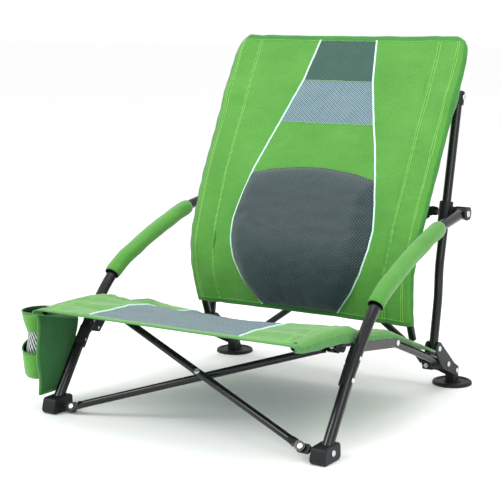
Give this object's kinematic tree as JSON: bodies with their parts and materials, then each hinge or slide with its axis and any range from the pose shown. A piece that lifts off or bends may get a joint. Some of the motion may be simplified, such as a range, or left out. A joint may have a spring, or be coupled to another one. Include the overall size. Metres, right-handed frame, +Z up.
{
  "type": "folding camp chair",
  "caption": "Low folding chair with a slung fabric seat and back, padded arms, crossed braces, round rear feet and a side cup pocket.",
  "frame": {"origin": "on the floor, midway between the two front feet", "axes": "+X to the sitter's left as they sit (the right of someone facing the chair), +Y to the back of the chair, +Z up"},
  "size_m": [0.7398, 0.7369, 0.7479],
  "materials": {
    "seat_cloth": "woven polyester",
    "back_cloth": "woven polyester",
    "knit_pad": "ribbed knit over foam",
    "pocket_cloth": "woven polyester",
    "sleeve_cloth": "fabric over foam",
    "black_tube": "gloss black powder coat",
    "rivet_steel": "bright zinc",
    "black_bracket": "satin black",
    "foot_rubber": "satin black",
    "black_plastic": "satin black"
  },
  "bodies": {
    "post_l": {"rear_post_l": "black_tube", "post_cap_l": "black_plastic", "back_tube_l": "black_tube", "back_tube_plugs_l": "black_plastic", "cap_rivets_l": "rivet_steel", "back_fabric": "back_cloth", "lumbar_pad": "knit_pad"},
    "slider_l": {"arm_slider_l": "black_plastic", "arm_bolt_l": "rivet_steel"},
    "leg_l": {"front_leg_l": "black_tube", "arm_end_l": "black_plastic", "arm_sleeve_l": "sleeve_cloth", "leg_bracket_l": "black_plastic", "leg_rivets_l": "rivet_steel", "front_foot_l": "black_plastic"},
    "link_l": {"side_link_l": "black_tube", "link_rivet_l": "rivet_steel"},
    "rail_l": {"seat_rail_l": "black_tube", "rear_hub_l": "black_plastic", "front_hub_l": "black_plastic", "rail_pins_l": "rivet_steel", "seat_fabric": "seat_cloth", "side_pocket": "pocket_cloth"},
    "foot_l": {"rear_foot_l": "foot_rubber"},
    "front_swivel_l": {"front_swivel_l": "black_bracket", "front_swivel_bolt_l": "rivet_steel"},
    "front_brace_l": {"front_brace_l": "black_tube", "front_brace_rivets_l": "black_tube"},
    "rear_swivel_l": {"rear_swivel_l": "black_bracket", "rear_swivel_bolt_l": "rivet_steel"},
    "rear_brace_l": {"rear_brace_l": "black_tube", "rear_brace_rivets_l": "black_tube"},
    "post_r": {"rear_post_r": "black_tube", "post_cap_r": "black_plastic", "back_tube_r": "black_tube", "back_tube_plugs_r": "black_plastic", "cap_rivets_r": "rivet_steel"},
    "slider_r": {"arm_slider_r": "black_plastic", "arm_bolt_r": "rivet_steel"},
    "leg_r": {"front_leg_r": "black_tube", "arm_end_r": "black_plastic", "arm_sleeve_r": "sleeve_cloth", "leg_bracket_r": "black_plastic", "leg_rivets_r": "rivet_steel", "front_foot_r": "black_plastic"},
    "link_r": {"side_link_r": "black_tube", "link_rivet_r": "rivet_steel"},
    "rail_r": {"seat_rail_r": "black_tube", "rear_hub_r": "black_plastic", "front_hub_r": "black_plastic", "rail_pins_r": "rivet_steel"},
    "foot_r": {"rear_foot_r": "foot_rubber"},
    "front_swivel_r": {"front_swivel_r": "black_bracket", "front_swivel_bolt_r": "rivet_steel"},
    "front_brace_r": {"front_brace_r": "black_tube", "front_brace_rivets_r": "black_tube"},
    "rear_swivel_r": {"rear_swivel_r": "black_bracket", "rear_swivel_bolt_r": "rivet_steel"},
    "rear_brace_r": {"rear_brace_r": "black_tube", "rear_brace_rivets_r": "black_tube"}
  },
  "joints": [
    {"name": "width_fold", "type": "slide", "parent": "post_l", "child": "post_r", "axis": [-1, 0, 0], "range_m": [0, 0.43693], "deforming": ["seat_fabric", "back_fabric", "lumbar_pad"]},
    {"name": "arm_slide_l", "type": "slide", "parent": "post_l", "child": "slider_l", "axis": [0, 0.2165, 0.9763], "range_m": [0, 0.2001]},
    {"name": "arm_hinge_l", "type": "hinge", "parent": "slider_l", "child": "leg_l", "pos_m": [-0.3125, 0.58529, 0.38263], "axis": [1, 0, 0], "range_deg": [0, 37.78]},
    {"name": "link_hinge_l", "type": "hinge", "parent": "leg_l", "child": "link_l", "pos_m": [-0.296, 0.15242, 0.17946], "axis": [1, 0, 0], "range_deg": [0, 38.54]},
    {"name": "rail_hinge_l", "type": "hinge", "parent": "post_l", "child": "rail_l", "pos_m": [-0.2825, 0.525, 0.1], "axis": [1, 0, 0], "range_deg": [-61.32, 0]},
    {"name": "foot_tilt_l", "type": "hinge", "parent": "rail_l", "child": "foot_l", "pos_m": [-0.2825, 0.62, 0.032], "axis": [1, 0, 0], "range_deg": [-12, 12]},
    {"name": "front_swivel_turn_l", "type": "hinge", "parent": "rail_l", "child": "front_swivel_l", "pos_m": [-0.264, 0.13104, 0.18182], "axis": [1, 0, 0], "range_deg": [0, 99.08]},
    {"name": "front_brace_turn_l", "type": "hinge", "parent": "front_swivel_l", "child": "front_brace_l", "pos_m": [-0.252, 0.13104, 0.18182], "axis": [0, -0.7629, 0.6466], "range_deg": [-59.13, 0]},
    {"name": "rear_swivel_turn_l", "type": "hinge", "parent": "rail_l", "child": "rear_swivel_l", "pos_m": [-0.252, 0.59725, 0.04208], "axis": [1, 0, 0], "range_deg": [0, 47.87]},
    {"name": "rear_brace_turn_l", "type": "hinge", "parent": "rear_swivel_l", "child": "rear_brace_l", "pos_m": [-0.237, 0.59725, 0.04208], "axis": [0, 0.9999, 0.0161], "range_deg": [-50.76, 0]},
    {"name": "arm_slide_r", "type": "slide", "parent": "post_r", "child": "slider_r", "axis": [0, 0.2165, 0.9763], "range_m": [0, 0.2001]},
    {"name": "arm_hinge_r", "type": "hinge", "parent": "slider_r", "child": "leg_r", "pos_m": [0.3125, 0.58529, 0.38263], "axis": [1, 0, 0], "range_deg": [0, 37.78]},
    {"name": "link_hinge_r", "type": "hinge", "parent": "leg_r", "child": "link_r", "pos_m": [0.296, 0.15242, 0.17946], "axis": [1, 0, 0], "range_deg": [0, 38.54]},
    {"name": "rail_hinge_r", "type": "hinge", "parent": "post_r", "child": "rail_r", "pos_m": [0.2825, 0.525, 0.1], "axis": [1, 0, 0], "range_deg": [-61.32, 0]},
    {"name": "foot_tilt_r", "type": "hinge", "parent": "rail_r", "child": "foot_r", "pos_m": [0.2825, 0.62, 0.032], "axis": [1, 0, 0], "range_deg": [-12, 12]},
    {"name": "front_swivel_turn_r", "type": "hinge", "parent": "rail_r", "child": "front_swivel_r", "pos_m": [0.264, 0.13104, 0.18182], "axis": [1, 0, 0], "range_deg": [0, 99.08]},
    {"name": "front_brace_turn_r", "type": "hinge", "parent": "front_swivel_r", "child": "front_brace_r", "pos_m": [0.252, 0.13104, 0.18182], "axis": [0, -0.7629, 0.6466], "range_deg": [0, 59.13]},
    {"name": "rear_swivel_turn_r", "type": "hinge", "parent": "rail_r", "child": "rear_swivel_r", "pos_m": [0.252, 0.59725, 0.04208], "axis": [1, 0, 0], "range_deg": [0, 47.87]},
    {"name": "rear_brace_turn_r", "type": "hinge", "parent": "rear_swivel_r", "child": "rear_brace_r", "pos_m": [0.237, 0.59725, 0.04208], "axis": [0, 0.9999, 0.0161], "range_deg": [0, 50.76]}
  ],
  "couplings": [
    {"joint": "arm_slide_l", "follows": "width_fold", "ratio": 0.45774},
    {"joint": "arm_hinge_l", "follows": "width_fold", "rad_per_m": 1.5083},
    {"joint": "link_hinge_l", "follows": "width_fold", "rad_per_m": 1.5385},
    {"joint": "rail_hinge_l", "follows": "width_fold", "rad_per_m": -2.4486},
    {"joint": "front_swivel_turn_l", "follows": "width_fold", "rad_per_m": 3.9569},
    {"joint": "front_brace_turn_l", "follows": "width_fold", "rad_per_m": -2.361},
    {"joint": "rear_swivel_turn_l", "follows": "width_fold", "rad_per_m": 1.9115},
    {"joint": "rear_brace_turn_l", "follows": "width_fold", "rad_per_m": -2.0267},
    {"joint": "arm_slide_r", "follows": "width_fold", "ratio": 0.45774},
    {"joint": "arm_hinge_r", "follows": "width_fold", "rad_per_m": 1.5083},
    {"joint": "link_hinge_r", "follows": "width_fold", "rad_per_m": 1.5385},
    {"joint": "rail_hinge_r", "follows": "width_fold", "rad_per_m": -2.4486},
    {"joint": "front_swivel_turn_r", "follows": "width_fold", "rad_per_m": 3.9569},
    {"joint": "front_brace_turn_r", "follows": "width_fold", "rad_per_m": 2.361},
    {"joint": "rear_swivel_turn_r", "follows": "width_fold", "rad_per_m": 1.9115},
    {"joint": "rear_brace_turn_r", "follows": "width_fold", "rad_per_m": 2.0267}
  ]
}
